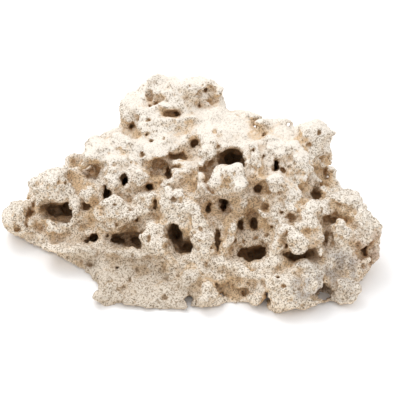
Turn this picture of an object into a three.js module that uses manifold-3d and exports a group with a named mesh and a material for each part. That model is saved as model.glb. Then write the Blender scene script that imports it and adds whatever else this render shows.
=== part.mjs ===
// A coral rock: one loose piece of old reef limestone, worn and bored through by
// sea life, lying on its flat broken underside. It is widest at a low lip that runs
// round it, rises in a slope of knobs and holes, and ends in a crown at the back.
// Millimetres, +Z up, +Y to the back. The origin is the middle of the resting face.
import * as THREE from "three";
import { ImprovedNoise } from "three/addons/math/ImprovedNoise.js";
import { mergeVertices } from "three/addons/utils/BufferGeometryUtils.js";
import Module from "manifold-3d";

const wasm = await Module();
wasm.setup();

// Driving sizes of the whole rock
const lipSharpness = 0.35; // how squarely the top turns down to the lip, 1 is a dome
const lipStart = 7; // how near the edge that turn begins
const lipSteps = 720; // how many places the lip's curve is read at
const summitReach = 11; // how far one measured height spreads over the surface
const farPull = 1e-4; // the pull of the heights far away, where none is near
const underSize = 21; // size of the waves of the broken underside
const underSlice = 5.3; // which slice of the noise those waves take
const underRelief = 8; // how deep the underside is uneven
const underSink = 5; // how much of that the flat resting face cuts away
const warpSize = 17; // size of the waves that bend every surface
const warpDepth = 2.2; // how far those waves bend it
const waveShift = [31.4, 47.1]; // keeps the waves along Y and Z apart from those along X
const fineSize = 7; // size of the small roughness
const fineDepth = 1.2; // how deep that roughness is

// The mesh of the skin and of the eggs
const skinDetail = 15; // how often each side of the skin's first triangles is divided
const skinTopShare = 0.6; // how much of the skin's fine mesh goes to the seen top
const skinCrowding = 1.1; // how much that mesh crowds toward the middle
const bigKnob = 24; // a knob over this size gets more faces
const bigHole = 14; // a hole wider than this has the most faces
const smallHole = 8; // a hole narrower than this has the fewest
const weldWithin = 1e-4; // corners nearer than this are one

// How knobs, hollows and holes act
const knobBlend = 8; // how tightly a knob joins the slope
const knobReach = 2; // how many of its own radii out a knob still pulls the skin
const bendShare = 0.16; // how far a knob or hole is bent out of round, as a share of its size
const bendWave = 0.6; // how long the waves of that bend are, as a share of its size
const hollowReach = 22; // how far before and behind its surface a hollow acts
const holeSink = 0.3; // how far under the surface a hole is widest, as a share of its depth
const holePitch = THREE.MathUtils.degToRad(14); // how steeply a hole goes down into the rock

// The front view, in which hollows and holes are placed
const sightPitch = THREE.MathUtils.degToRad(35); // it looks down this much
const sightFrom = 700; // how far in front of the rock it is taken
const sightMiddle = new THREE.Vector3(6, 0, 25); // its middle

// The lip, seen from above, anticlockwise from the front right: x, y and its height
const lip = [
  [74, -96, 7], [101, -90, 8], [116, -77, 13], [128, -63, 21], [133, -47, 27],
  [122, -26, 30], [106, -4, 30], [99, 20, 28], [90, 44, 26], [76, 64, 24],
  [58, 76, 24], [34, 90, 26], [4, 98, 28], [-30, 95, 28], [-56, 82, 26],
  [-78, 62, 24], [-96, 42, 22], [-112, 22, 20], [-124, 4, 16], [-138, -9, 12],
  [-130, -20, 8], [-112, -29, 7], [-101, -37, 6], [-84, -53, 5], [-67, -72, 5],
  [-54, -90, 5], [-38, -97, 5], [-14, -98, 5], [14, -94, 5], [34, -91, 5], [52, -92, 6],
];

// Heights measured over the top: x, y and z
const summits = [
  // the skirt's ridge, its hollow face and its lower edge
  [-93, -42, 14], [-72, -45, 18], [-50, -47, 20], [-29, -53, 21], [-8, -65, 24],
  [8, -71, 27], [26, -79, 27], [47, -88, 28], [-78, -57, 9], [-56, -65, 13],
  [-35, -69, 13], [-18, -77, 12], [-1, -79, 14], [16, -83, 15], [36, -87, 15],
  [-54, -90, 9], [-34, -94, 9], [-17, -95, 9], [-1, -91, 10], [16, -92, 9],
  // the crease above the skirt
  [-69, -34, 15], [-52, -36, 15], [-37, -40, 16], [-11, -51, 19], [18, -59, 21], [45, -61, 22],
  // the left arm and its block
  [-131, -11, 14], [-106, -26, 15], [-87, -31, 18], [-103, -18, 20], [-101, -6, 45],
  [-91, -9, 40], [-99, 6, 46], [-108, 20, 34], [-90, 30, 36],
  // the low masses over the crease
  [-76, -6, 38], [-75, -28, 23], [-59, -32, 36], [-47, -33, 39], [-33, -30, 41],
  [-22, -43, 34], [3, -47, 37], [30, -60, 31], [34, -41, 41], [-15, -33, 44], [-1, -31, 47],
  // the upper slab, from the left to the right peak
  [-66, 4, 62], [-55, 8, 68], [-44, -6, 60], [-70, -4, 54], [-58, -17, 48], [-30, 4, 66],
  [-8, -6, 60], [-29, -27, 48], [-23, 22, 72], [6, 22, 76], [35, 10, 75], [-8, 9, 67],
  [63, 0, 77], [84, 1, 76], [51, -16, 70], [76, -20, 69], [89, -29, 58], [68, -31, 62],
  [23, -22, 60], [24, -29, 45], [35, 29, 74], [71, 16, 82], [90, 16, 78],
  // the crown and the slope behind it
  [-31, 49, 86], [-9, 54, 92], [10, 54, 92], [-24, 60, 93], [17, 38, 84], [-54, 34, 66],
  [-40, 72, 88], [-5, 74, 90], [20, 72, 60], [38, 52, 63], [62, 46, 62], [88, 36, 60], [-62, 58, 50],
  // the steep back, which falls away behind the crown
  [-30, 86, 64], [0, 89, 60], [28, 82, 50], [56, 66, 46], [-58, 74, 42], [-84, 46, 30], [84, 50, 42],
  [102, 22, 46], [-112, 12, 28],
  // the right shoulder and the thick front right corner
  [54, -45, 52], [74, -43, 55], [103, -36, 46], [117, -42, 42], [123, -55, 34], [104, -66, 38],
  [88, -49, 47], [93, -77, 30], [118, -73, 22], [73, -55, 45], [57, -69, 36], [86, -76, 33],
  [70, -86, 30], [66, -92, 16], [80, -90, 15], [104, -85, 14],
];

// Knobs that stand proud of the slope: middle, full size along X, Y and Z, and turn about Z in degrees
const knobs = [
  // the crown with its sharp left corner, its arm and the ledge below
  { at: [-22, 58, 77], size: [42, 40, 34] },
  { at: [6, 61, 77], size: [38, 40, 36] },
  { at: [-46, 50, 66], size: [20, 26, 30] },
  { at: [-12, 34, 72], size: [58, 26, 22] },
  // the shoulder and the two right peaks
  { at: [30, 30, 68], size: [34, 26, 22] },
  { at: [65, 20, 73], size: [30, 22, 20] },
  { at: [90, 11, 69], size: [26, 26, 24] },
  { at: [93, 4, 56], size: [25, 30, 26] },
  { at: [-66, 10, 56], size: [30, 30, 20] },
  // the curved strap beside the great hollow
  { at: [11, 10, 70], size: [13, 18, 13] },
  { at: [12, 0, 65], size: [12, 18, 13] },
  // the left arm: block, end knob, lobes and the bored column
  { at: [-100, -2, 36], size: [34, 28, 31] },
  { at: [-88, 10, 38], size: [30, 24, 16] },
  { at: [-118, -17, 12], size: [16, 20, 18] },
  { at: [-95, -28, 12], size: [34, 20, 15], turn: -15 },
  { at: [-75, -16, 30], size: [19, 16, 30] },
  // the low masses over the crease
  { at: [-57, -27, 30], size: [36, 20, 20], turn: 8 },
  { at: [-34, -28, 36], size: [28, 20, 18] },
  { at: [-4, -36, 37], size: [36, 22, 19] },
  { at: [-29, -42, 24], size: [16, 14, 18] },
  { at: [28, -53, 24], size: [17, 14, 20] },
  { at: [45, -56, 28], size: [12, 11, 11] },
  // the shoulder of the right end
  { at: [107, -33, 40], size: [34, 30, 24] },
  { at: [60, -45, 46], size: [34, 22, 22] },
  // the rim and the inner knob of the bowl
  { at: [73, -53, 41], size: [28, 14, 16] },
  { at: [91, -64, 32], size: [15, 22, 18] },
  { at: [56, -66, 29], size: [15, 22, 18] },
  { at: [72, -83, 24], size: [40, 14, 16] },
  // the skirt's ridge, feet and bumps
  { at: [-66, -46, 14], size: [54, 12, 11] },
  { at: [-22, -59, 18], size: [42, 12, 11], turn: -25 },
  { at: [30, -78, 22], size: [48, 14, 13], turn: -25 },
  { at: [44, -89, 7], size: [11, 11, 17] },
  { at: [73, -91, 9], size: [26, 14, 20] },
  { at: [102, -86, 9], size: [18, 14, 20] },
  { at: [11, -89, 8], size: [20, 14, 14] },
  { at: [-55, -79, 8], size: [22, 16, 14] },
  { at: [-14, -91, 8], size: [24, 12, 12] },
  // the back, with a spur at its middle
  { at: [-16, 88, 48], size: [44, 26, 40] },
  { at: [27, 82, 36], size: [36, 28, 34] },
  { at: [2, 94, 24], size: [44, 16, 24] },
  { at: [60, 65, 34], size: [32, 28, 32] },
  { at: [88, 42, 32], size: [30, 28, 30] },
  { at: [-58, 74, 30], size: [36, 28, 30] },
  { at: [-90, 42, 22], size: [32, 26, 22] },
  { at: [-116, 10, 18], size: [24, 20, 18] },
  { at: [105, 8, 34], size: [24, 32, 26] },
  // the right end
  { at: [118, -46, 30], size: [22, 26, 22] },
  { at: [121, -63, 20], size: [18, 20, 20] },
  { at: [103, -64, 28], size: [22, 22, 20] },
];

// Knobs that overhang, each joined on as a solid of its own
const proudKnobs = [
  { at: [-24, 65, 87], size: [18, 18, 18] },
  { at: [25, -22, 52], size: [38, 28, 30] },
  { at: [12, -26, 47], size: [18, 14, 15] },
  { at: [7, -10, 59], size: [12, 16, 13] },
  { at: [-130, -10, 12], size: [20, 24, 23] },
  { at: [74, -69, 29], size: [17, 17, 19] },
  { at: [88, 13, 70], size: [28, 22, 22] },
];

// Hollows and holes are placed as the front view shows them, in millimetres right of
// and above its middle, with their width and height in that view and their depth.
// One that starts with `from` lies as far round the rock from the front, in degrees.
const hollows = [
  { seen: [73, -31], across: [28, 25], deep: 8 }, // the bowl at the right
  { seen: [4, 77], across: [25, 18], deep: 4 }, // the top of the crown
  { seen: [-30, 24], across: [19, 15], deep: 8 },
  { seen: [-81, 21], across: [15, 11], deep: 7 }, // behind the left block
  { seen: [-37, -54], across: [40, 11], deep: 5 }, // the face of the skirt
  { seen: [19, -64], across: [30, 10], deep: 4 },
  { seen: [-53, -30], across: [36, 13], deep: 8 }, // the crease, in three lengths
  { seen: [-10, -37], across: [32, 13], deep: 7 },
  { seen: [32, -40], across: [36, 13], deep: 7 },
  { seen: [93, 22], across: [13, 19], deep: 5 }, // under the right peak
  { seen: [56, -6], across: [16, 13], deep: 5 },
  { seen: [-30, 6], across: [22, 10], deep: 5 },
  { seen: [37, 44], across: [25, 9], deep: 4 }, // dips of the upper slab
  { seen: [-48, 37], across: [22, 10], deep: 4 },
  { seen: [107, -61], across: [18, 16], deep: 5 }, // the front right foot
  { from: 180, seen: [-66, 20], across: [34, 22], deep: 9 }, // three bays of the back
  { from: 180, seen: [44, 30], across: [32, 20], deep: 9 },
  { from: 180, seen: [-2, 0], across: [26, 24], deep: 6 },
  { from: 85, seen: [46, 6], across: [30, 20], deep: 7 },
];
const holes = [
  // the left arm, under and beside its block
  { seen: [-99, -8], across: [14, 16], deep: 26, aim: [0.2, 0.93, -0.3] },
  { seen: [-111, -10], across: [21, 9], deep: 14, aim: [0.2, 0.93, -0.3], roll: 15 },
  { seen: [-84, -5], across: [8, 8], deep: 10 },
  { seen: [-70, 3], across: [7, 15], deep: 14 },
  // the upper slab and its broken front edge
  { seen: [-56, 14], across: [7, 10], deep: 13 },
  { seen: [-38, 9], across: [7, 6], deep: 10 },
  { seen: [-23, 18], across: [7, 10], deep: 14 },
  { seen: [-17, 32], across: [15, 7], deep: 8 },
  { seen: [-4, 41], across: [11, 8], deep: 12 },
  { seen: [24, 30], across: [20, 16], deep: 16 },
  { seen: [34, 22], across: [5, 12], deep: 16 },
  { seen: [56, 24], across: [6, 10], deep: 13 },
  // the crown
  { seen: [-21, 63], across: [15, 9], deep: 7 },
  { seen: [-17, 63], across: [6, 5], deep: 12 },
  // the right peak and its shoulder
  { seen: [90, 30], across: [8, 7], deep: 7 },
  { seen: [94, 18], across: [7, 7], deep: 10 },
  { seen: [87, 1], across: [12, 7], deep: 15 },
  // around the big knob and below it
  { seen: [6, 16], across: [7, 6], deep: 10 },
  { seen: [43, 8], across: [10, 8], deep: 11 },
  { seen: [6, -8], across: [7, 7], deep: 14 },
  { seen: [18, -6], across: [10, 12], deep: 20 },
  { seen: [48, -6], across: [11, 9], deep: 8 },
  { seen: [68, -14], across: [9, 8], deep: 7 },
  { seen: [30, -20], across: [6, 10], deep: 12 },
  { seen: [40, -20], across: [8, 15], deep: 17 },
  { seen: [-17, -24], across: [10, 16], deep: 20, roll: -15 },
  { seen: [13, -31], across: [7, 20], deep: 21 },
  { seen: [42, -42], across: [16, 8], deep: 15, roll: -20 },
  { seen: [48, -37], across: [7, 6], deep: 14 },
  // the crease above the skirt
  { seen: [-7, -36], across: [15, 8], deep: 9 },
  { seen: [-78, -29], across: [10, 7], deep: 13 },
  { seen: [-60, -30], across: [16, 7], deep: 14 },
  { seen: [-45, -32], across: [14, 10], deep: 13 },
  // the bowl, its rim and the right end
  { seen: [71, -43], across: [18, 7], deep: 11 },
  { seen: [94, -27], across: [5, 16], deep: 6 },
  { seen: [98, -16], across: [9, 7], deep: 6 },
  { seen: [122, -38], across: [9, 10], deep: 5 },
  // the front edge, where the rock stands clear of the ground
  { seen: [50, -72], across: [10, 10], deep: 22, aim: [0, 1, 0] },
  { seen: [92, -73], across: [15, 7], deep: 18, aim: [0, 1, 0] },
  { seen: [-9, -76], across: [9, 7], deep: 9 },
  // the back and the two ends
  { from: 180, seen: [-34, 12], across: [12, 10], deep: 14 },
  { from: 180, seen: [12, 6], across: [9, 13], deep: 14 },
  { from: 180, seen: [38, -12], across: [14, 9], deep: 16 },
  { from: 180, seen: [-64, -4], across: [10, 9], deep: 12 },
  { from: 180, seen: [-12, -12], across: [11, 8], deep: 12 },
  { from: 180, seen: [74, -12], across: [9, 9], deep: 12 },
  { from: 90, seen: [-24, -18], across: [10, 8], deep: 12 },
  { from: 90, seen: [20, -6], across: [9, 11], deep: 14 },
  { from: -90, seen: [-30, -6], across: [12, 9], deep: 14 },
];

const noise = new ImprovedNoise();
const upright = new THREE.Vector3(0, 0, 1);
const limestone = new THREE.MeshStandardMaterial({ color: 0xe0d3bf, roughness: 0.95, metalness: 0 });

// A closed mesh becomes a solid once its shared corners are merged.
function solidFrom(geometry) {
  const bare = geometry.clone();
  bare.deleteAttribute("normal");
  bare.deleteAttribute("uv");
  const merged = mergeVertices(bare, weldWithin);
  return new wasm.Manifold(
    new wasm.Mesh({
      numProp: 3,
      vertProperties: new Float32Array(merged.attributes.position.array),
      triVerts: new Uint32Array(merged.index.array),
    }),
  );
}

// Turns a solid back into a drawn geometry.
function geometryFrom(solid) {
  const { vertProperties, triVerts } = solid.getMesh();
  const geometry = new THREE.BufferGeometry();
  geometry.setAttribute("position", new THREE.BufferAttribute(new Float32Array(vertProperties), 3));
  geometry.setIndex(new THREE.BufferAttribute(new Uint32Array(triVerts), 1));
  geometry.computeVertexNormals();
  return geometry;
}

// Moves every corner of a geometry by a function of its place.
function reshape(geometry, move) {
  const place = geometry.attributes.position;
  const point = new THREE.Vector3();
  for (let i = 0; i < place.count; i++) {
    point.fromBufferAttribute(place, i);
    move(point);
    place.setXYZ(i, point.x, point.y, point.z);
  }
  return geometry;
}

// A sphere of near-equal triangles whose corners are shared.
function evenSphere(detail) {
  const sphere = new THREE.IcosahedronGeometry(1, detail);
  sphere.deleteAttribute("normal");
  sphere.deleteAttribute("uv");
  return mergeVertices(sphere, weldWithin);
}

// A sphere of few faces, with its poles along Z.
function egg(around, along) {
  const sphere = new THREE.SphereGeometry(1, around, along).rotateX(Math.PI / 2);
  sphere.deleteAttribute("normal");
  sphere.deleteAttribute("uv");
  return mergeVertices(sphere, weldWithin);
}

// Bends a point with three slow waves, so that nothing stays a clean curve.
function warp(point, depth = warpDepth, size = warpSize) {
  const { x, y, z } = point.clone().divideScalar(size);
  point.x += depth * noise.noise(x, y, z);
  point.y += depth * noise.noise(x + waveShift[0], y, z);
  point.z += depth * noise.noise(x, y + waveShift[1], z);
}

const lipCurve = new THREE.CatmullRomCurve3(
  lip.map(([x, y, z]) => new THREE.Vector3(x, y, z)), true, "centripetal",
);
const lipSamples = lipCurve
  .getPoints(lipSteps)
  .map((p) => ({ angle: Math.atan2(p.y, p.x), reach: Math.hypot(p.x, p.y), height: p.z }))
  .sort((a, b) => a.angle - b.angle);

// The lip's distance from the middle and its height, in one direction.
function lipAt(angle) {
  const after = lipSamples.findIndex((s) => s.angle >= angle);
  const b = lipSamples[after < 0 ? 0 : after];
  const a = lipSamples[(after < 0 ? lipSamples.length : after || lipSamples.length) - 1];
  const span = THREE.MathUtils.euclideanModulo(b.angle - a.angle, 2 * Math.PI) || 1;
  const share = THREE.MathUtils.euclideanModulo(angle - a.angle, 2 * Math.PI) / span;
  return {
    reach: THREE.MathUtils.lerp(a.reach, b.reach, share),
    height: THREE.MathUtils.lerp(a.height, b.height, share),
  };
}

// The height of the open surface at a place, blended from the measured heights.
function surfaceHeight(x, y) {
  let sum = 0;
  let weights = 0;
  for (const [sx, sy, sz] of summits) {
    const apart = ((x - sx) ** 2 + (y - sy) ** 2) / summitReach ** 2;
    const weight = Math.exp(-apart) + farPull / (1 + apart ** 2);
    sum += weight * sz;
    weights += weight;
  }
  return sum / weights;
}

// The skin: a round pebble stretched to the lip, the heights and the underside.
function makeSkin() {
  return reshape(evenSphere(skinDetail), (p) => {
    const fromTop = Math.acos(THREE.MathUtils.clamp(p.z, -1, 1)) / Math.PI;
    const onTop = fromTop <= skinTopShare;
    const ring = onTop ? fromTop / skinTopShare : (1 - fromTop) / (1 - skinTopShare);
    const share = ring ** skinCrowding;
    const angle = Math.atan2(p.y, p.x);
    const { reach, height } = lipAt(angle);
    const x = Math.cos(angle) * share * reach;
    const y = Math.sin(angle) * share * reach;
    const rise = (1 - share ** lipStart) ** lipSharpness;
    const top = height + (surfaceHeight(x, y) - height) * rise;
    const hollow = underRelief * noise.noise(x / underSize, y / underSize, underSlice) - underSink;
    const under = height * (1 - rise) + hollow * rise;
    p.set(x, y, onTop ? top : under);
    for (const knob of knobs) swell(p, knob);
    warp(p);
  });
}

// Pushes a point of the skin that lies in a knob out to the knob's surface.
function swell(point, { at, size, turn = 0 }) {
  const half = new THREE.Vector3(...size).divideScalar(2);
  const local = new THREE.Vector3(point.x - at[0], point.y - at[1], point.z - at[2]);
  local.applyAxisAngle(upright, -THREE.MathUtils.degToRad(turn)).divide(half);
  const far = local.length();
  if (far > knobReach || far === 0) return;
  const pushed = (far ** knobBlend + 1) ** (1 / knobBlend);
  local.multiplyScalar(pushed / far).multiply(half);
  local.applyAxisAngle(upright, THREE.MathUtils.degToRad(turn));
  point.set(...at).add(local);
}

// Sinks the points of the skin that the front view shows in a hollow.
function sink(point, { view, place, across, deep }) {
  const off = point.clone().sub(place);
  const flat = Math.hypot(off.dot(view.right) / across[0], off.dot(view.up) / across[1]) * 2;
  if (Math.abs(off.dot(view.sight)) > hollowReach) return;
  point.addScaledVector(view.sight, deep * Math.exp(-(flat ** 3)));
}

// A knob of its own: an even sphere stretched to its size, turned, placed and roughened.
function makeKnob({ at, size, turn = 0 }) {
  const half = new THREE.Vector3(...size).divideScalar(2);
  const big = Math.max(...size);
  return reshape(evenSphere(big > bigKnob ? 2 : 1), (p) => {
    p.multiply(half).applyAxisAngle(upright, THREE.MathUtils.degToRad(turn));
    p.add(new THREE.Vector3(...at));
    warp(p, bendShare * big, bendWave * big);
    warp(p, fineDepth, fineSize);
  });
}

// A view of the rock: its line of sight, its own upward line and sideways line, the line
// along which its holes go in, and the eye.
function viewFrom(azimuth) {
  const round = THREE.MathUtils.degToRad(azimuth);
  const sight = new THREE.Vector3(0, Math.cos(sightPitch), -Math.sin(sightPitch));
  const up = new THREE.Vector3(0, Math.sin(sightPitch), Math.cos(sightPitch));
  const right = new THREE.Vector3(1, 0, 0);
  const inward = new THREE.Vector3(0, Math.cos(holePitch), -Math.sin(holePitch));
  for (const line of [sight, up, right, inward]) line.applyAxisAngle(upright, round);
  return { sight, up, right, inward, eye: sightMiddle.clone().addScaledVector(sight, -sightFrom) };
}

// Finds the first place on a shape that such a view shows at a point.
function placeSeen(shape, [right, above], view) {
  const target = sightMiddle.clone().addScaledVector(view.right, right).addScaledVector(view.up, above);
  const ray = new THREE.Raycaster(view.eye, target.sub(view.eye).normalize());
  return ray.intersectObject(shape)[0].point;
}

// A hole: a roughened egg whose fat part is sunk under the surface.
function makeHole(shape, { seen, across, deep, from = 0, aim, roll = 0 }) {
  const view = viewFrom(from);
  const inward = aim ? new THREE.Vector3(...aim).normalize() : view.inward;
  const side = new THREE.Vector3().crossVectors(inward, upright).normalize();
  side.applyAxisAngle(inward, THREE.MathUtils.degToRad(roll));
  const fall = new THREE.Vector3().crossVectors(inward, side);
  const middle = placeSeen(shape, seen, view).addScaledVector(inward, holeSink * deep);
  const wide = Math.max(...across);
  const [around, along] = wide > bigHole ? [9, 5] : wide > smallHole ? [7, 4] : [6, 3];
  return reshape(egg(around, along), (p) => {
    const { x, y, z } = p;
    p.copy(middle).addScaledVector(side, (x * across[0]) / 2);
    p.addScaledVector(fall, (y * across[1]) / 2).addScaledVector(inward, z * (1 - holeSink) * deep);
    warp(p, bendShare * wide, bendWave * wide);
  });
}

// Everything below the resting face
const ground = new THREE.BoxGeometry(400, 400, 60).translate(0, 0, -30);

const skin = makeSkin();
const smooth = new THREE.Mesh(skin.clone(), limestone);
const placed = hollows.map((hollow) => {
  const view = viewFrom(hollow.from ?? 0);
  return { ...hollow, view, place: placeSeen(smooth, hollow.seen, view) };
});
reshape(skin, (p) => {
  for (const hollow of placed) sink(p, hollow);
  warp(p, fineDepth, fineSize);
});
let rock = solidFrom(skin);
for (const knob of proudKnobs) rock = rock.add(solidFrom(makeKnob(knob)));
const shape = new THREE.Mesh(geometryFrom(rock), limestone);
for (const hole of holes) rock = rock.subtract(solidFrom(makeHole(shape, hole)));
rock = rock.subtract(solidFrom(ground));

// The origin goes to the middle of the rock's own length and width.
const geometry = geometryFrom(rock);
geometry.computeBoundingBox();
const middle = geometry.boundingBox.getCenter(new THREE.Vector3());
geometry.translate(-middle.x, -middle.y, 0);

const coralRock = new THREE.Mesh(geometry, limestone);
coralRock.name = "coral_rock";

const group = new THREE.Group();
group.add(coralRock);
export default group;
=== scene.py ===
import bpy
import math
import random
from mathutils import Matrix, Vector
from mathutils.bvhtree import BVHTree


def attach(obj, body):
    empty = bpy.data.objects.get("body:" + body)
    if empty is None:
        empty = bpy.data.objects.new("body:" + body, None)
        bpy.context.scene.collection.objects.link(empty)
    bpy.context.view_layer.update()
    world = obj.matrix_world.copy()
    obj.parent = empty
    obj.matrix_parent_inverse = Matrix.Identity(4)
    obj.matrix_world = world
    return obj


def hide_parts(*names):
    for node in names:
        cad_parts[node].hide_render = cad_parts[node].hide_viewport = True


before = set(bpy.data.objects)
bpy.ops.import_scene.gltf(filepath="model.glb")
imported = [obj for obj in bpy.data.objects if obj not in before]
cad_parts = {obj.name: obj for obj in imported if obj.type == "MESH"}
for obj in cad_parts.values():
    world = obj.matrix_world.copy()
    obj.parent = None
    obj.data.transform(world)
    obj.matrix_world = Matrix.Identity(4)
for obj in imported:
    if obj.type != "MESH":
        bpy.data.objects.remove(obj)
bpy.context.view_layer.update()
mm = 0.001

# The front view that the photograph shows, as a camera
view = {
    "target": Vector((9.9, -1.7, 25)) * mm,
    "distance": 700 * mm,
    "down": math.radians(35),
    "lens": 85.14,
    "sensor": 36,
}
sight = Vector((0, math.cos(view["down"]), -math.sin(view["down"])))
sightUp = Vector((0, math.sin(view["down"]), math.cos(view["down"])))
eye = view["target"] - sight * view["distance"]


def deselectAll():
    bpy.ops.object.select_all(action="DESELECT")


def makeActive(obj):
    deselectAll()
    obj.select_set(True)
    bpy.context.view_layer.objects.active = obj


def addModifier(obj, kind, **settings):
    # Adds one modifier with its settings and applies it.
    makeActive(obj)
    modifier = obj.modifiers.new(kind.lower(), kind)
    for key, value in settings.items():
        setattr(modifier, key, value)
    bpy.ops.object.modifier_apply(modifier=modifier.name)


def addRelief(obj, kind, size, strength, middle=0.5, vertexGroup="", **settings):
    # Pushes the surface in and out by a 3D texture whose waves are `size` wide.
    texture = bpy.data.textures.new(kind.lower(), kind)
    texture.noise_scale = size
    for key, value in settings.items():
        setattr(texture, key, value)
    addModifier(obj, "DISPLACE", texture=texture, texture_coords="LOCAL", strength=strength,
                mid_level=middle, vertex_group=vertexGroup)


def remake(body, voxel, wear):
    # Makes the mesh anew as one closed skin and smooths it.
    addModifier(body, "REMESH", mode="VOXEL", voxel_size=voxel)
    addModifier(body, "SMOOTH", factor=0.5, iterations=wear)


def cut(body, cutter):
    # Takes the cutter's shape out of the body.
    addModifier(body, "BOOLEAN", operation="DIFFERENCE", object=cutter, solver="MANIFOLD")
    deselectAll()
    cutter.select_set(True)
    bpy.ops.object.delete()


def finishCutter(cutter, voxel, waveSize, waveDepth):
    # Makes one closed body of many eggs and breaks their round shape.
    addModifier(cutter, "REMESH", mode="VOXEL", voxel_size=voxel)
    addRelief(cutter, "CLOUDS", waveSize, waveDepth, noise_depth=2)
    addRelief(cutter, "VORONOI", waveSize * 0.6, waveDepth * 0.5)
    return cutter


def surfaceTree(body):
    # What rays are sent against.
    return BVHTree.FromObject(body, bpy.context.evaluated_depsgraph_get())


# Masses that stand proud, as the front view shows them: millimetres right of and above
# its middle, width, height, how far the mass stands out, and its roll in degrees
frontKnobs = {
    "leftArm": [
        (-135, -16, 20, 23, 4, 0), (-121, -16, 11, 27, 2, 0), (-101, -21, 40, 16, 3, 20),
        (-110, 7, 28, 27, 4, 0), (-83, -6, 24, 37, 3, 0), (-104, 21, 16, 7, 2, 0),
        (-63, -10, 33, 25, 4, 0), (-65, 16, 16, 16, 2, 0),
    ],
    "slab": [
        (-45, 16, 12, 13, 2, 0), (-37, 1, 25, 10, 2, 0), (6, 36, 13, 25, 4, 20),
        (41, 27, 12, 25, 2, 0), (-52, 30, 34, 22, 1, -15), (-26, 42, 40, 18, 1, 0), (20, 46, 42, 18, 1, 0),
        (56, 38, 36, 22, 1, 0), (72, 22, 26, 26, 1, 0), (-20, 6, 30, 14, 2, 0), (50, 12, 16, 14, 2, 0),
    ],
    "middle": [
        (21, 13, 35, 25, 4, 0), (-16, -4, 34, 22, 3, 0), (-33, -21, 19, 13, 3, 0),
        (0, -21, 18, 25, 3, 0), (24, -24, 10, 19, 2, 0), (33, -4, 15, 16, 2, 0), (58, 7, 33, 22, 3, 0),
    ],
    "right": [
        (107, -2, 33, 13, 3, 15), (83, -7, 22, 12, 2, 0), (74, -18, 30, 9, 3, 0),
        (59, -33, 10, 25, 3, 0), (88, -32, 9, 25, 2, 0), (73, -32, 15, 15, 4, 0),
        (104, -28, 15, 25, 2, 0), (120, -21, 25, 30, 3, 0), (74, -53, 47, 13, 3, 0),
        (66, -62, 24, 16, 2, 0),
    ],
    "crown": [
        (-31, 89, 11, 10, 3, 0), (-16, 80, 30, 21, 2, 0), (6, 80, 21, 22, 3, 0), (-21, 70, 22, 6, 2, 0),
        (-53, 65, 16, 25, 3, 0), (-11, 58, 44, 9, 2, 0), (33, 61, 25, 15, 2, 0), (50, 56, 18, 9, 2, 0),
        (65, 58, 10, 7, 2, 0),
    ],
    "peak": [
        (84, 50, 27, 16, 3, 0), (91, 37, 10, 16, 2, 0),
    ],
    "skirt": [
        (-85, -40, 59, 10, 2, 12), (-37, -41, 52, 9, 2, 0), (11, -46, 44, 10, 3, 12),
        (41, -56, 37, 12, 3, 15), (-7, -61, 16, 19, 3, 0), (5, -69, 13, 19, 3, 0),
        (-67, -71, 22, 13, 2, 0),
    ],
    "feet": [
        (42, -73, 10, 12, 3, 0), (63, -75, 10, 12, 3, 0), (80, -69, 25, 22, 3, 0),
        (107, -67, 19, 21, 3, 0),
    ],
    "roundInnerKnob": [
        (62, -29, 13, 17, 4, 0), (72, -21, 22, 12, 5, 0), (82, -28, 12, 16, 4, 0),
    ],
    "armRing": [
        (-84, -5, 15, 18, 3, 0),
    ],
}

# Hollows between the masses, in the same terms, with their depth
frontBowls = {
    "arm": [
        (-80, 21, 16, 11, 9, 0), (-105, -9, 28, 15, 10, 15), (-56, -31, 34, 13, 5, 0),
        (-78, -30, 13, 10, 6, 0),
    ],
    "slab": [
        (-30, 24, 21, 15, 9, 0), (-7, 38, 18, 15, 7, 0), (-15, 32, 19, 7, 7, 0), (4, 16, 13, 10, 7, 0),
        (24, 28, 22, 19, 10, 0), (-55, 13, 10, 13, 8, 0), (-33, -7, 9, 19, 6, 0), (-48, 0, 13, 6, 5, 0),
    ],
    "middle": [
        (44, 9, 13, 12, 8, 0), (56, -1, 15, 15, 5, 0), (69, -13, 13, 12, 6, 0), (-7, -36, 22, 10, 8, 0),
        (13, -32, 11, 24, 8, 0), (37, -21, 21, 18, 7, 0), (40, -41, 30, 12, 9, 0),
        (-17, -25, 15, 19, 8, 0), (12, -7, 22, 15, 8, 0),
    ],
    "right": [
        (84, 7, 24, 13, 7, 20), (90, 24, 13, 22, 6, 0), (99, -15, 21, 10, 6, 0), (94, -27, 9, 22, 5, 0),
        (73, -41, 25, 10, 8, 0), (123, -38, 12, 16, 5, 0),
    ],
    "crown": [
        (-36, 75, 16, 13, 6, 0), (-21, 63, 12, 7, 3, 0), (6, 80, 12, 9, 5, 0), (4, 70, 19, 6, 4, 0),
        (-52, 53, 10, 7, 4, 0),
    ],
    "skirt": [
        (18, -67, 33, 10, 4, 0), (50, -71, 12, 12, 7, 0), (93, -73, 14, 9, 7, 0),
        (-9, -75, 9, 7, 4, 0), (-90, -46, 15, 6, 3, 0),
    ],
    "besideArmHole": [
        (-115, -3, 17, 8, 6, 15),
    ],
}

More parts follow.
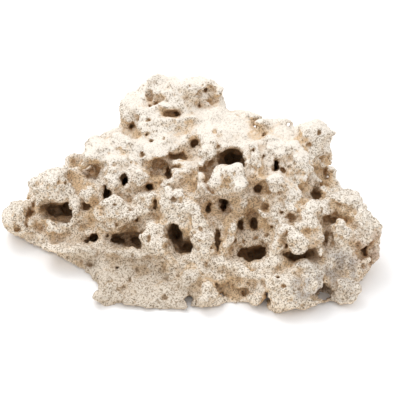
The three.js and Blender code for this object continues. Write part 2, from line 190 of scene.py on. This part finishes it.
# The body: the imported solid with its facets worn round, its masses and its hollows
bodySettings = {
    "voxel": 1.3 * mm,  # how fine the body is made anew
    "wear": 4,  # rounds of smoothing that wear the solid's facets away
    "massWear": 2,  # the same after the masses are joined to it
    "hollowWear": 10,  # and after the hollows are cut
    "sunken": 5.5 * mm,  # how far the rock lies back between its masses
    "sunkenBack": 0.7,  # the same at the back, as a share
    "calmFrom": 24,  # from this height in the front view, in millimetres, the slab is calmer
    "calmFull": 40,
    "calmSunken": 0.7,  # how much less the calm part lies back
    "calmRough": 0.35,  # how much less rough it is
    "wornTop": 0.5,  # how much less rough a face is that looks up
    "massSeed": 3,
    "massProud": 1.45,  # how much of a mass's own height stands out
    "massThick": 0.42,  # half a mass's thickness as a share of its width
    "massForward": 1.3,  # how far the small eggs of a mass stand in front
    "massEggs": 4,
    "massWave": (8 * mm, 5.0 * mm),  # size and depth of the waves on the masses
    "hollowSeed": 8,
    "hollowWider": 1.15,
    "hollowDeeper": 1.35,
    "hollowOut": 0.1,  # how far the middle of a hollow lies outside, as a share of its depth
    "hollowEggs": 5,
    "hollowVoxel": 1.1 * mm,
    "hollowWave": (5.5 * mm, 6.0 * mm),
    "lumps": (12 * mm, 3.2 * mm),  # size and depth of the body's own relief, from coarse to fine
    "cells": (9 * mm, 4.5 * mm),
    "knobs": (5 * mm, 3.6 * mm),
}


def smoothStep(value, low, high):
    share = min(1, max(0, (value - low) / (high - low)))
    return share * share * (3 - 2 * share)


def calmness(point):
    # 1 on the upper slab and the crown, 0 below them, by how high the front view shows a point.
    off = point - view["target"]
    nearness = view["distance"] / (view["distance"] + off.dot(sight))
    above = off.dot(sightUp) * nearness / mm
    return smoothStep(above, bodySettings["calmFrom"], bodySettings["calmFull"])


def weigh(body, name, rule):
    # Gives every vertex its own weight in a vertex group.
    group = body.vertex_groups.get(name) or body.vertex_groups.new(name=name)
    for vertex in body.data.vertices:
        group.add([vertex.index], rule(vertex), "REPLACE")
    return name


def sunkenWeight(vertex):
    # The rock lies back except at its outline, and less on the slab, the crown and the back.
    facing = -vertex.normal.dot(sight)
    if facing < 0:
        return -bodySettings["sunkenBack"] * facing * smoothStep(vertex.normal.z, -0.6, 0)
    return facing * (1 - bodySettings["calmSunken"] * calmness(vertex.co))


def roughWeight(vertex):
    # Steep faces are rough, faces that look up are worn, and the resting face is plain.
    worn = bodySettings["wornTop"] * smoothStep(vertex.normal.z, 0.55, 1)
    resting = smoothStep(-vertex.normal.z, 0.3, 0.8)
    calm = bodySettings["calmRough"] * calmness(vertex.co)
    return (1 - worn) * (1 - resting) * (1 - calm)


def seenPlace(tree, right, above):
    # The first point of the surface that the front view shows there.
    target = view["target"] + Vector((right * mm, 0, 0)) + sightUp * above * mm
    return tree.ray_cast(eye, (target - eye).normalized())[0]


def makeEggs(specs, subdivisions):
    # One object of many eggs, each given by its middle, three axes and three half sizes.
    deselectAll()
    bpy.ops.mesh.primitive_ico_sphere_add(subdivisions=subdivisions, radius=1)
    egg = bpy.context.object
    copies = []
    for middle, side, fall, inward, half in specs:
        copy = egg.copy()
        copy.data = egg.data.copy()
        axes = Matrix((side * half[0], fall * half[1], inward * half[2])).transposed()
        copy.matrix_world = Matrix.Translation(middle) @ axes.to_4x4()
        bpy.context.scene.collection.objects.link(copy)
        copies.append(copy)
    deselectAll()
    egg.select_set(True)
    bpy.ops.object.delete()
    for copy in copies:
        copy.select_set(True)
    bpy.context.view_layer.objects.active = copies[0]
    bpy.ops.object.join()
    bpy.ops.object.transform_apply(location=True, rotation=True, scale=True)
    return copies[0]


def frontAxes(roll, down=view["down"]):
    # Sideways, downwards and inwards as the front view has them, turned by a roll.
    inward = Vector((0, math.cos(down), -math.sin(down)))
    side = Matrix.Rotation(math.radians(roll), 3, inward) @ Vector((1, 0, 0))
    return side, inward.cross(side), inward


# The small eggs round a big one, as shares of the big one's half sizes
clusterSettings = {
    "big": 0.92,
    "small": (0.3, 0.52),
    "out": (0.45, 0.85),  # how far from the middle
    "uneven": 0.35,  # how unevenly they are spaced
    "inOrOut": 0.3,  # how far in or out they may lie
}


def clusterEggs(spec, dice, count, front=0.0):
    # One egg with smaller ones round its edge, so that the whole has no clean outline.
    middle, side, fall, inward, half = spec
    uneven = clusterSettings["uneven"]
    inOrOut = clusterSettings["inOrOut"]
    eggs = [(middle, side, fall, inward, tuple(clusterSettings["big"] * length for length in half))]
    for index in range(count):
        angle = 2 * math.pi * (index + dice.uniform(-uneven, uneven)) / count
        out = dice.uniform(*clusterSettings["out"])
        share = dice.uniform(*clusterSettings["small"])
        place = middle + side * math.cos(angle) * half[0] * out + fall * math.sin(angle) * half[1] * out
        place += inward * half[2] * (dice.uniform(-inOrOut, inOrOut) - front * (1 - out))
        eggs.append((place, side, fall, inward, tuple(share * length for length in half)))
    return eggs


# What is scattered over the back and the ends: how many, how far apart, width and depth.
# The depth of a mass is how far it stands out.
backSettings = {
    "seed": 21,
    "turned": 0.3,  # how far a face is turned away from the front view
    "overhang": -0.35,  # how far a face may look down
    "lowest": 6 * mm,
    "highest": 78 * mm,
    "eggs": 5,  # small eggs round a mass or a hollow
    "holeEggs": 3,
    "masses": {"count": 70, "apart": 13 * mm, "width": (14 * mm, 30 * mm), "depth": (1 * mm, 2.5 * mm)},
    "hollows": {"count": 55, "apart": 15 * mm, "width": (10 * mm, 24 * mm), "depth": (5 * mm, 9 * mm)},
    "holes": {"count": 60, "apart": 11 * mm, "width": (4 * mm, 10 * mm), "depth": (8 * mm, 14 * mm)},
}


def backPlaces(body, dice, kind):
    # Places that the front view doesn't show, each with its axes and its size.
    settings = backSettings[kind]
    faces = [(face.center.copy(), face.normal.copy()) for face in body.data.polygons
             if face.normal.dot(sight) > backSettings["turned"] and face.normal.z > backSettings["overhang"]
             and backSettings["lowest"] < face.center.z < backSettings["highest"]]
    dice.shuffle(faces)
    chosen = []
    for place, normal in faces:
        if len(chosen) == settings["count"]:
            break
        if any((place - other[0]).length < settings["apart"] for other in chosen):
            continue
        inward = -normal
        side = Matrix.Rotation(dice.uniform(0, math.pi), 3, inward) @ inward.orthogonal().normalized()
        width = dice.uniform(*settings["width"])
        height = width * dice.uniform(0.5, 1)
        depth = dice.uniform(*settings["depth"])
        chosen.append((place, side, inward.cross(side), inward, width, height, depth))
    return chosen


def makeMasses(body):
    # One object that holds every mass as a cluster of eggs.
    tree = surfaceTree(body)
    forward = bodySettings["massForward"]
    backDice = random.Random(backSettings["seed"])
    specs = []
    for place, side, fall, inward, width, height, proud in backPlaces(body, backDice, "masses"):
        thick = width * bodySettings["massThick"]
        middle = place + inward * (thick - bodySettings["massProud"] * proud)
        spec = (middle, side, fall, inward, (width / 2, height / 2, thick))
        specs += clusterEggs(spec, backDice, backSettings["eggs"], forward)
    dice = random.Random(bodySettings["massSeed"])
    for group in frontKnobs.values():
        for right, above, width, height, proud, roll in group:
            place = seenPlace(tree, right, above)
            if place is None:
                continue
            thick = max(width, height) * bodySettings["massThick"]
            middle = place + sight * (thick - bodySettings["massProud"] * proud) * mm
            half = (width * mm / 2, height * mm / 2, thick * mm)
            specs += clusterEggs((middle, *frontAxes(roll), half), dice, bodySettings["massEggs"], forward)
    masses = makeEggs(specs, subdivisions=3)
    addRelief(masses, "CLOUDS", *bodySettings["massWave"], noise_depth=1)
    return masses


def makeHollows(body):
    # One object that holds every hollow as a cluster of eggs.
    tree = surfaceTree(body)
    backDice = random.Random(backSettings["seed"])
    specs = []
    for place, side, fall, inward, width, height, depth in backPlaces(body, backDice, "hollows"):
        spec = (place, side, fall, inward, (width / 2, height / 2, depth))
        specs += clusterEggs(spec, backDice, backSettings["eggs"])
    wider = bodySettings["hollowWider"]
    deeper = bodySettings["hollowDeeper"]
    dice = random.Random(bodySettings["hollowSeed"])
    for group in frontBowls.values():
        for right, above, width, height, depth, roll in group:
            place = seenPlace(tree, right, above)
            if place is None:
                continue
            half = (width * wider * mm / 2, height * wider * mm / 2, depth * deeper * mm)
            middle = place - sight * bodySettings["hollowOut"] * depth * mm
            specs += clusterEggs((middle, *frontAxes(roll), half), dice, bodySettings["hollowEggs"])
    cutter = makeEggs(specs, subdivisions=3)
    return finishCutter(cutter, bodySettings["hollowVoxel"], *bodySettings["hollowWave"])


def makeBody():
    # The solid's copy with its facets worn away, its masses, its hollows and its coarse relief.
    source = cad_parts["coral_rock"]
    deselectAll()
    body = source.copy()
    body.data = source.data.copy()
    body.name = "coralRockSkin"
    bpy.context.scene.collection.objects.link(body)
    makeActive(body)
    bpy.ops.object.mode_set(mode="EDIT")
    bpy.ops.mesh.select_all(action="SELECT")
    bpy.ops.mesh.remove_doubles(threshold=0.01 * mm)
    bpy.ops.object.mode_set(mode="OBJECT")
    remake(body, bodySettings["voxel"], bodySettings["wear"])
    masses = makeMasses(body)
    sunken = weigh(body, "sunken", sunkenWeight)
    addModifier(body, "DISPLACE", strength=-bodySettings["sunken"], mid_level=0, vertex_group=sunken)
    makeActive(body)
    masses.select_set(True)
    bpy.ops.object.join()
    remake(body, bodySettings["voxel"], bodySettings["massWear"])
    rough = weigh(body, "rough", roughWeight)
    addRelief(body, "CLOUDS", *bodySettings["lumps"], noise_depth=1, vertexGroup=rough)
    cut(body, makeHollows(body))
    remake(body, bodySettings["voxel"], bodySettings["hollowWear"])
    rough = weigh(body, "rough", roughWeight)
    addRelief(body, "VORONOI", *bodySettings["cells"], vertexGroup=rough)
    addRelief(body, "CLOUDS", *bodySettings["knobs"], noise_depth=2, vertexGroup=rough)
    return body


# Holes that the front view shows: millimetres right of and above its middle,
# width, height and depth
frontHoles = {
    "leftArm": [
        (-99, -8, 13.3, 15.5, 19), (-111, -10, 20.7, 8.1, 11), (-84, -5, 8.9, 8.9, 11),
        (-70, 3, 6.7, 14.1, 14), (-81, 21, 10.4, 6.7, 8), (-105, 13, 5.9, 3.7, 6),
        (-99, 12, 11.8, 3.7, 4), (-129, -16, 3, 13.3, 5), (-124, -10, 3.7, 3, 4),
        (-110, -42, 8.9, 3.7, 5), (-133, -21, 3, 2.2, 3), (-64, -4, 3.7, 3.7, 4), (-90, 10, 4.4, 3, 3),
    ],
    "slab": [
        (-56, 14, 5.9, 10.4, 13), (-38, 9, 5.9, 5.2, 10), (-36, 18, 3, 4.4, 8), (-23, 18, 6.7, 9.6, 14),
        (-30, 25, 14.8, 7.4, 6), (-17, 32, 13.3, 5.2, 8), (-4, 41, 10.4, 7.4, 9),
        (1, 33, 2.2, 16.3, 11), (-16, 41, 3, 2.2, 5), (-43, 33, 3.7, 5.2, 7), (24, 30, 18.5, 14.8, 17),
        (34, 21, 4.4, 12.6, 12), (13, 38, 3.7, 4.4, 7), (40, 36, 3, 5.2, 7), (56, 24, 5.2, 10.4, 13),
        (62, 21, 5.2, 4.4, 9), (73, 36, 3, 2.2, 5), (7, 27, 3.7, 8.9, 6), (-26, 44, 7.4, 2.2, 4),
        (-63, 26, 5.9, 3, 3), (-71, 31, 5.2, 2.2, 3), (-61, 37, 4.4, 2.2, 3), (-10, 49, 3.7, 2.2, 3),
        (11, 50, 5.2, 2.2, 3),
    ],
    "crown": [
        (-17, 63, 5.9, 4.4, 9), (4, 81, 4.4, 4.4, 9), (0, 79, 11.1, 5.2, 5),
        (0, 69, 3.7, 3.7, 8), (9, 73, 8.9, 6.7, 5), (-37, 77, 8.9, 10.4, 5), (-39, 79, 3.7, 3.7, 5),
        (-45, 70, 3.7, 3, 10), (-39, 55, 4.4, 3, 5), (-40, 47, 3, 3, 5), (-51, 54, 4.4, 4.4, 6),
        (-32, 71, 4.4, 3.7, 5), (-11, 75, 5.2, 3, 4), (-7, 84, 4.4, 3, 4), (16, 60, 7.4, 2.2, 6),
        (25, 57, 4.4, 2.2, 4),
    ],
    "peak": [
        (90, 30, 7.4, 6.7, 7), (94, 18, 6.7, 6.7, 10), (87, 1, 11.8, 6.7, 11), (98, 37, 4.4, 3.7, 4),
        (81, 41, 4.4, 3, 4), (78, 11, 4.4, 3, 4), (67, 47, 5.2, 3, 3), (53, 50, 3.7, 2.2, 3),
        (104, -4, 4.4, 3, 5),
    ],
    "middle": [
        (6, 16, 6.7, 5.2, 10), (43, 8, 8.9, 7.4, 9), (6, -8, 5.9, 5.9, 10), (18, -6, 8.1, 10.4, 14),
        (48, -6, 10.4, 8.1, 7), (61, -10, 4.4, 3, 6), (68, -14, 7.4, 8.1, 7), (30, -20, 5.2, 8.9, 9),
        (40, -20, 7.4, 14.8, 12), (54, -21, 3, 3.7, 8), (-17, -24, 9.6, 14.1, 13),
        (13, -31, 5.9, 19.2, 13), (42, -42, 15.5, 7.4, 10), (48, -37, 5.9, 5.9, 10),
        (-7, -36, 14.8, 6.7, 9), (-18, -37, 3.7, 4.4, 8), (-30, -40, 2.2, 2.2, 6),
        (-25, -36, 4.4, 4.4, 8), (-1, -21, 3, 3.7, 5), (25, -32, 3.7, 5.9, 7), (36, -33, 3, 3.7, 6),
        (21, 9, 3, 2.2, 3), (30, 0, 4.4, 3, 4), (59, 5, 4.4, 3.7, 4), (-7, -11, 4.4, 2.2, 3),
        (-33, -4, 3.7, 10.4, 7), (-48, -16, 5.2, 3.7, 9), (-51, 0, 7.4, 3, 7), (-56, -9, 3, 2.2, 4),
        (-65, -10, 3, 3, 4), (-43, -6, 3, 2.2, 4), (-21, -10, 3, 2.2, 3), (-27, -19, 3.7, 3, 4),
    ],
    "crease": [
        (-78, -29, 9.6, 6.7, 9), (-60, -30, 16.3, 5.9, 9), (-46, -31, 13.3, 8.9, 7),
        (-38, -30, 5.2, 6.7, 6), (-68, -27, 3.7, 3, 6), (-92, -25, 4.4, 2.2, 4),
    ],
    "right": [
        (71, -43, 17, 5.9, 11), (64, -35, 3.7, 4.4, 6), (94, -27, 4.4, 15.5, 6),
        (98, -16, 8.9, 5.9, 6), (107, -16, 13.3, 3, 4), (122, -38, 8.1, 9.6, 5),
        (117, -34, 3.7, 3.7, 4), (126, -46, 3.7, 3.7, 4), (94, -56, 3.7, 11.1, 9), (85, -37, 3, 4.4, 5),
        (111, -28, 3.7, 3, 4), (115, -11, 3.7, 3, 4), (124, -21, 3.7, 3.7, 4), (89, -18, 3.7, 3, 4),
        (81, -24, 4.4, 3, 4),
    ],
    "front": [
        (50, -72, 9.6, 8.9, 16), (92, -73, 14.1, 6.7, 13), (-9, -75, 8.1, 6.7, 8), (-2, -76, 3, 3.7, 5),
        (-27, -73, 6.7, 3.7, 6), (-47, -52, 3.7, 3, 6), (-67, -46, 3, 2.2, 4), (-81, -48, 5.2, 3.7, 4),
        (-22, -60, 5.9, 2.2, 4), (33, -71, 3.7, 4.4, 5), (62, -63, 3, 5.2, 4), (74, -56, 4.4, 3, 4),
        (15, -71, 5.2, 3.7, 4), (-57, -65, 4.4, 3, 4), (5, -61, 3.7, 2.2, 3), (-96, -37, 3.7, 2.2, 3),
        (-38, -67, 3.7, 3, 3),
    ],
}
holeSettings = {
    "sink": 0.3,  # how far under the surface a hole is widest, as a share of its depth
    "down": math.radians(16),  # how steeply a hole goes down into the rock
    "wave": (3.2 * mm, 2.6 * mm),  # size and depth of the waves on the holes' walls
    "voxel": 0.8 * mm,
    "clustered": 6,  # holes wider than this many millimetres are clusters of eggs
    "eggs": 4,
    "seed": 11,
    "poreCount": 1000,  # small pores scattered all over, in place of each single one
    "poreLowest": 3 * mm,
    "poreSize": (1.6 * mm, 4.6 * mm),
    "poreMostlySmall": 2.5,  # the higher, the fewer big pores
    "poreLean": (0.4, 0.4, 0.3),  # how far a pore leans along X, Y and Z
    "poreFlat": (0.6, 1.0),
    "poreDepth": (0.7, 1.4),
    "poreSink": 0.2,
}


def makeHoles(body):
    # One object that holds every hole and pore as a rough egg.
    tree = surfaceTree(body)
    sink = holeSettings["sink"]
    backDice = random.Random(backSettings["seed"])
    specs = []
    for place, side, fall, inward, width, height, depth in backPlaces(body, backDice, "holes"):
        half = (width / 2, height / 2, (1 - sink) * depth)
        spec = (place + inward * sink * depth, side, fall, inward, half)
        specs += clusterEggs(spec, backDice, backSettings["holeEggs"])
    dice = random.Random(holeSettings["seed"])
    for group in frontHoles.values():
        for right, above, width, height, depth in group:
            place = seenPlace(tree, right, above)
            if place is None:
                continue
            side, fall, inward = frontAxes(0, holeSettings["down"])
            half = (width * mm / 2, height * mm / 2, (1 - sink) * depth * mm)
            spec = (place + inward * sink * depth * mm, side, fall, inward, half)
            if width > holeSettings["clustered"]:
                specs += clusterEggs(spec, dice, holeSettings["eggs"])
            else:
                specs.append(spec)
    faces = [face for face in body.data.polygons if face.center.z > holeSettings["poreLowest"]]
    low, high = holeSettings["poreSize"]
    for count in range(holeSettings["poreCount"]):
        face = dice.choice(faces)
        size = low + (high - low) * dice.random() ** holeSettings["poreMostlySmall"]
        lean = Vector([dice.uniform(-most, most) for most in holeSettings["poreLean"]])
        inward = (lean - face.normal).normalized()
        side = Matrix.Rotation(dice.uniform(0, math.pi), 3, inward) @ inward.orthogonal().normalized()
        flat = dice.uniform(*holeSettings["poreFlat"])
        half = (size / 2, size / 2 * flat, size * dice.uniform(*holeSettings["poreDepth"]))
        place = face.center + inward * holeSettings["poreSink"] * size
        specs.append((place, side, inward.cross(side), inward, half))
    cutter = makeEggs(specs, subdivisions=2)
    return finishCutter(cutter, holeSettings["voxel"], *holeSettings["wave"])


# The fine surface, after the holes are cut
surfaceSettings = {
    "voxel": 0.95 * mm,
    "wear": 2,
    "cells": (3.4 * mm, 2.4 * mm),  # size and depth
    "cellMiddle": 0.4,
    "grain": (1.9 * mm, 1.5 * mm),
    "triangles": 190000,
}


def dropCrumbs(body):
    # Parts the mesh where it doesn't hang together and keeps the biggest piece.
    name = body.name
    makeActive(body)
    bpy.ops.mesh.separate(type="LOOSE")
    pieces = sorted(bpy.context.selected_objects, key=lambda piece: len(piece.data.polygons))
    deselectAll()
    for crumb in pieces[:-1]:
        crumb.select_set(True)
    bpy.ops.object.delete()
    pieces[-1].name = name
    pieces[-1].data.validate()
    return pieces[-1]


def makeSurface(body):
    # Adds the finest relief, rests the rock on the floor and thins the mesh.
    remake(body, surfaceSettings["voxel"], surfaceSettings["wear"])
    rough = weigh(body, "rough", roughWeight)
    addRelief(body, "VORONOI", *surfaceSettings["cells"], surfaceSettings["cellMiddle"], vertexGroup=rough)
    addRelief(body, "CLOUDS", *surfaceSettings["grain"], noise_depth=1, vertexGroup=rough)
    for vertex in body.data.vertices:
        vertex.co.z = max(0, vertex.co.z)  # the rock rests on the floor
    total = len(body.data.polygons) * 2  # two triangles for each square face
    addModifier(body, "DECIMATE", ratio=min(1, surfaceSettings["triangles"] / total))
    return dropCrumbs(body)


# How closed in each point is, by rays sent out from it
shadeSettings = {
    "rays": 20,
    "near": 5 * mm,  # a wall nearer than this makes a point part of a pit
    "far": 26 * mm,  # and one nearer than this part of a den
    "lift": 0.25 * mm,
}


def spreadDirections(count):
    # Even directions over the half sphere round +Z.
    golden = math.pi * (3 - math.sqrt(5))
    directions = []
    for index in range(count):
        height = (index + 0.5) / count
        flat = math.sqrt(1 - height * height)
        directions.append(Vector((flat * math.cos(golden * index), flat * math.sin(golden * index), height)))
    return directions


def paintHollows(body):
    # Two point attributes: pit for the small holes and den for the deep ones.
    tree = surfaceTree(body)
    directions = spreadDirections(shadeSettings["rays"])
    pits = []
    dens = []
    for vertex in body.data.vertices:
        turn = vertex.normal.to_track_quat("Z", "Y")
        start = vertex.co + vertex.normal * shadeSettings["lift"]
        pit = 0
        den = 0
        for direction in directions:
            distance = tree.ray_cast(start, turn @ direction, shadeSettings["far"])[3]
            if distance is None:
                continue
            den += 1
            if distance < shadeSettings["near"]:
                pit += 1
        pits.append(pit / len(directions))
        dens.append(den / len(directions))
    for name, values in (("pit", pits), ("den", dens)):
        attribute = body.data.attributes.new(name, "FLOAT", "POINT")
        attribute.data.foreach_set("value", values)


# The stone's finish
stoneColours = {
    "cream": (0.84, 0.71, 0.55),
    # bright: the painted highlight on high faces that look up
    "bright": (0.85, 0.785, 0.70),
    "tan": (0.56, 0.37, 0.20),
    "ochre": (0.66, 0.42, 0.19),
    # brown and dark fill the holes: partly stain, partly painted shade
    "brown": (0.42, 0.22, 0.085),
    "dark": (0.24, 0.12, 0.045),
    "grey": (0.43, 0.40, 0.38),
    # the colour of the painted shade on the left of the skirt
    "paintedSkirtShade": (0.50, 0.42, 0.33),
    "red": (0.40, 0.22, 0.13),
    "speck": (0.14, 0.10, 0.065),
    "grit": (0.26, 0.19, 0.12),
}

# How much each colour covers where it lies
stoneCover = {
    # tan stains, with painted shade where a face is turned down
    "stainAndPaintedShade": 0.42,
    "ochre": 0.65,
    # pitted, shaded, brown and dark: stain in the holes together with painted shade
    "pitted": 0.62,
    "shaded": 0.5,
    "brown": 0.78,
    "dark": 0.65,
    "grey": 0.75,
    "red": 0.6,
    # how strongly the painted shade darkens the left of the skirt
    "paintedSkirtShade": 0.5,
    "grit": 0.82,
}

# Where some colours lie: the middle in millimetres, the radius and the strength
stonePatches = {
    "grey": [(106, -73, 16, 17, 1), (82, -98, 22, 17, 1), (97, -82, 18, 30, 0.5)],
    "red": [(126, -56, 20, 22, 1)],
    # painted shade over the left of the skirt
    "paintedSkirtShade": [(-55, -72, 8, 44, 1), (-15, -90, 5, 40, 1)],
}

# The width of each pattern, and how high the finest grain stands
stoneGrain = {
    "broad": 38 * mm,
    "ochre": 15 * mm,
    "medium": 9 * mm,
    "speckField": 2.6 * mm,
    "speck": 1.9 * mm,
    "fine": 1.6 * mm,
    "grit": 1.3 * mm,
    "finest": 0.7 * mm,
    "height": 0.8 * mm,
}


class Shade:
    # A socket that Python's own signs add Math nodes to.
    def __init__(self, tree, socket):
        self.tree = tree
        self.socket = socket

    def math(self, operation, *values, clamp=False):
        node = self.tree.nodes.new("ShaderNodeMath")
        node.operation = operation
        node.use_clamp = clamp
        for slot, value in enumerate((self,) + values):
            if isinstance(value, Shade):
                self.tree.links.new(value.socket, node.inputs[slot])
            else:
                node.inputs[slot].default_value = value
        return Shade(self.tree, node.outputs[0])

    def __add__(self, other):
        return self.math("ADD", other)

    def __sub__(self, other):
        return self.math("SUBTRACT", other)

    def __rsub__(self, other):
        return (self * -1) + other

    def __mul__(self, other):
        return self.math("MULTIPLY", other)

    __radd__ = __add__
    __rmul__ = __mul__

    def clamped(self):
        return self.math("ADD", 0.0, clamp=True)

    def between(self, low, high):
        # 0 below low, 1 above high and a smooth way between.
        return make(self.tree, "ShaderNodeMapRange", {"interpolation_type": "SMOOTHSTEP"},
                    {"Value": self, "From Min": low, "From Max": high})["Result"]


def make(tree, kind, settings, inputs):
    # Adds one node: its settings first, then the values or links of its sockets.
    node = tree.nodes.new(kind)
    for key, value in settings.items():
        setattr(node, key, value)
    for key, value in inputs.items():
        if isinstance(value, Shade):
            tree.links.new(value.socket, node.inputs[key])
        else:
            node.inputs[key].default_value = value
    return {socket.name: Shade(tree, socket) for socket in node.outputs}


def mixColour(tree, factor, low, high):
    # The low colour where the factor is 0 and the high one where it is 1.
    node = tree.nodes.new("ShaderNodeMix")
    node.data_type = "RGBA"
    for slot, value in ((0, factor), (6, low), (7, high)):
        if isinstance(value, Shade):
            tree.links.new(value.socket, node.inputs[slot])
        elif isinstance(value, tuple):
            node.inputs[slot].default_value = (*value, 1)
        else:
            node.inputs[slot].default_value = value
    return Shade(tree, node.outputs[2])


def makeStone():
    material = bpy.data.materials.new("reefLimestone")
    material.use_nodes = True
    tree = material.node_tree
    shader = tree.nodes["Principled BSDF"]
    place = make(tree, "ShaderNodeTexCoord", {}, {})["Object"]
    normal = make(tree, "ShaderNodeNewGeometry", {}, {})["Normal"]
    up = make(tree, "ShaderNodeSeparateXYZ", {}, {"Vector": normal})["Z"]
    pit = make(tree, "ShaderNodeAttribute", {"attribute_name": "pit"}, {})["Fac"]
    den = make(tree, "ShaderNodeAttribute", {"attribute_name": "den"}, {})["Fac"]

    def noise(size, detail=3.0, rough=0.55):
        return make(tree, "ShaderNodeTexNoise", {},
                    {"Vector": place, "Scale": 1 / size, "Detail": detail, "Roughness": rough})["Fac"]

    def patches(name):
        # 1 at some places on the rock and 0 past their radius.
        total = 0
        for x, y, z, radius, strength in stonePatches[name]:
            away = make(tree, "ShaderNodeVectorMath", {"operation": "DISTANCE"},
                        {0: place, 1: (x * mm, y * mm, z * mm)})["Value"]
            total = total + (1 - away.between(radius * 0.4 * mm, radius * mm)) * strength
        return total.clamped()

    def cover(colour, mask, name):
        # Lays one of the stone's colours over another.
        return mixColour(tree, mask * stoneCover[name], colour, stoneColours[name])

    broad = noise(stoneGrain["broad"], 2.0)
    medium = noise(stoneGrain["medium"], 4.0)
    fine = noise(stoneGrain["fine"], 3.0, 0.7)
    height = make(tree, "ShaderNodeSeparateXYZ", {}, {"Vector": place})["Z"]

    # Cream, lighter where it faces up and stands high, which is a painted highlight over a tone that differs
    # at random; darker tan where it is low or turned down.
    toneAndPaintedTopLight = (up * 0.6 + 0.25 + (medium - 0.5) * 0.9 + height.between(15 * mm, 70 * mm) * 0.35).clamped()
    colour = mixColour(tree, toneAndPaintedTopLight, stoneColours["cream"], stoneColours["bright"])
    # Tan stains that differ at random, with more tan where a face is turned down, which is painted shade.
    stainAndPaintedShade = ((medium - 0.5) * 1.6 + (broad - 0.5) * 1.2 + (0.55 - up * 0.5)).between(0.35, 1.15)
    colour = mixColour(tree, stainAndPaintedShade * stoneCover["stainAndPaintedShade"], colour, stoneColours["tan"])

    # Ochre stains lie in some of the sheltered places.
    ochre = noise(stoneGrain["ochre"], 2.0).between(0.46, 0.6)
    colour = cover(colour, ochre * (den + (medium - 0.5) * 0.3).between(0.15, 0.45), "ochre")

    # The holes go from tan through brown to a dark brown, by how closed in each point is: partly stain in
    # the hollows and partly painted shade, darkest where most closed in.
    pitted = (pit + (medium - 0.5) * 0.25).between(0.22, 0.75)
    colour = mixColour(tree, pitted * stoneCover["pitted"], colour, stoneColours["tan"])
    shaded = (den + (medium - 0.5) * 0.3).between(0.25, 0.75)
    colour = mixColour(tree, shaded * stoneCover["shaded"], colour, stoneColours["tan"])
    colour = cover(colour, (den + (medium - 0.5) * 0.2).between(0.6, 0.92), "brown")
    colour = cover(colour, den.between(0.84, 1.0), "dark")

    # Grey patches at the right end, a rusty one beside them and painted shade on the left of the skirt.
    colour = cover(colour, patches("grey") * medium.between(0.3, 0.6), "grey")
    colour = cover(colour, patches("red") * medium.between(0.35, 0.6), "red")
    colour = cover(colour, patches("paintedSkirtShade") * (0.6 + medium * 0.8), "paintedSkirtShade")

    # Fine dark specks, thickest on the low and steep faces, over a finer grit.
    # Fewer specks and less grit on high faces that look up, which lightens them as a painted highlight.
    paintedTopHighlight = up.between(0.5, 0.9) * height.between(45 * mm, 62 * mm)
    specks = make(tree, "ShaderNodeTexVoronoi", {"feature": "F1"},
                  {"Vector": place, "Scale": 1 / stoneGrain["speck"], "Randomness": 1.0})["Distance"]
    speckMask = (1 - specks.between(0.16, 0.36)) * noise(stoneGrain["speckField"], 2.0).between(0.45, 0.6)
    speckMask = speckMask * (1.4 - toneAndPaintedTopLight * 0.55) * (1 - paintedTopHighlight * 0.65)
    colour = mixColour(tree, speckMask.clamped(), colour, stoneColours["speck"])
    grit = noise(stoneGrain["grit"], 2.0, 0.8).between(0.48, 0.6)
    colour = mixColour(tree, grit * (stoneCover["grit"] - paintedTopHighlight * 0.55), colour, stoneColours["grit"])

    # The finest grain, with a small pit at each speck.
    grains = fine * 0.6 + noise(stoneGrain["finest"], 2.0) * 0.4 - (1 - specks.between(0.1, 0.3)) * 0.5
    bump = make(tree, "ShaderNodeBump", {},
                {"Strength": 1.0, "Distance": stoneGrain["height"], "Height": grains})["Normal"]
    tree.links.new(colour.socket, shader.inputs["Base Color"])
    tree.links.new(bump.socket, shader.inputs["Normal"])
    shader.inputs["Roughness"].default_value = 0.95
    shader.inputs["Specular IOR Level"].default_value = 0.2
    return material


# The room: a pale floor, one broad soft light and white surroundings
roomSettings = {
    "floorSize": 6.0,
    "floor": (0.93, 0.93, 0.94),
    "skyStrength": 1.14,
    "keyPlace": (-0.35, 0.45, 1.0),
    "keySize": 0.7,
    "keyEnergy": 4.8,
}


def makeRoom():
    deselectAll()
    bpy.ops.mesh.primitive_plane_add(size=roomSettings["floorSize"])
    floor = bpy.context.object
    floor.name = "paleFloor"
    material = bpy.data.materials.new("paleFloor")
    material.use_nodes = True
    shader = material.node_tree.nodes["Principled BSDF"]
    shader.inputs["Base Color"].default_value = (*roomSettings["floor"], 1)
    shader.inputs["Roughness"].default_value = 0.9
    floor.data.materials.append(material)
    world = bpy.data.worlds.new("paleRoom")
    world.use_nodes = True
    world.node_tree.nodes["Background"].inputs["Color"].default_value = (1, 1, 1, 1)
    world.node_tree.nodes["Background"].inputs["Strength"].default_value = roomSettings["skyStrength"]
    bpy.context.scene.world = world
    bpy.ops.object.light_add(type="AREA", location=roomSettings["keyPlace"])
    light = bpy.context.object
    light.name = "keyLight"
    light.data.size = roomSettings["keySize"]
    light.data.energy = roomSettings["keyEnergy"]
    light.rotation_euler = (-Vector(roomSettings["keyPlace"])).to_track_quat("-Z", "Y").to_euler()


def makeCamera():
    camera = bpy.data.cameras.new("frontView")
    camera.lens = view["lens"]
    camera.sensor_width = view["sensor"]
    holder = bpy.data.objects.new("frontView", camera)
    holder.location = eye
    holder.rotation_euler = sight.to_track_quat("-Z", "Y").to_euler()
    bpy.context.scene.collection.objects.link(holder)
    bpy.context.scene.camera = holder


makeCamera()
makeRoom()
bpy.context.scene.view_settings.view_transform = "Standard"
print("room made")

coralRock = makeBody()
print("body made", len(coralRock.data.polygons))
cut(coralRock, makeHoles(coralRock))
print("holes cut", len(coralRock.data.polygons))
coralRock = makeSurface(coralRock)
print("surface made", len(coralRock.data.polygons))
makeActive(coralRock)
bpy.ops.object.shade_smooth()
paintHollows(coralRock)
print("hollows painted")
coralRock.data.materials.clear()
coralRock.data.materials.append(makeStone())

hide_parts("coral_rock")
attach(coralRock, "root")
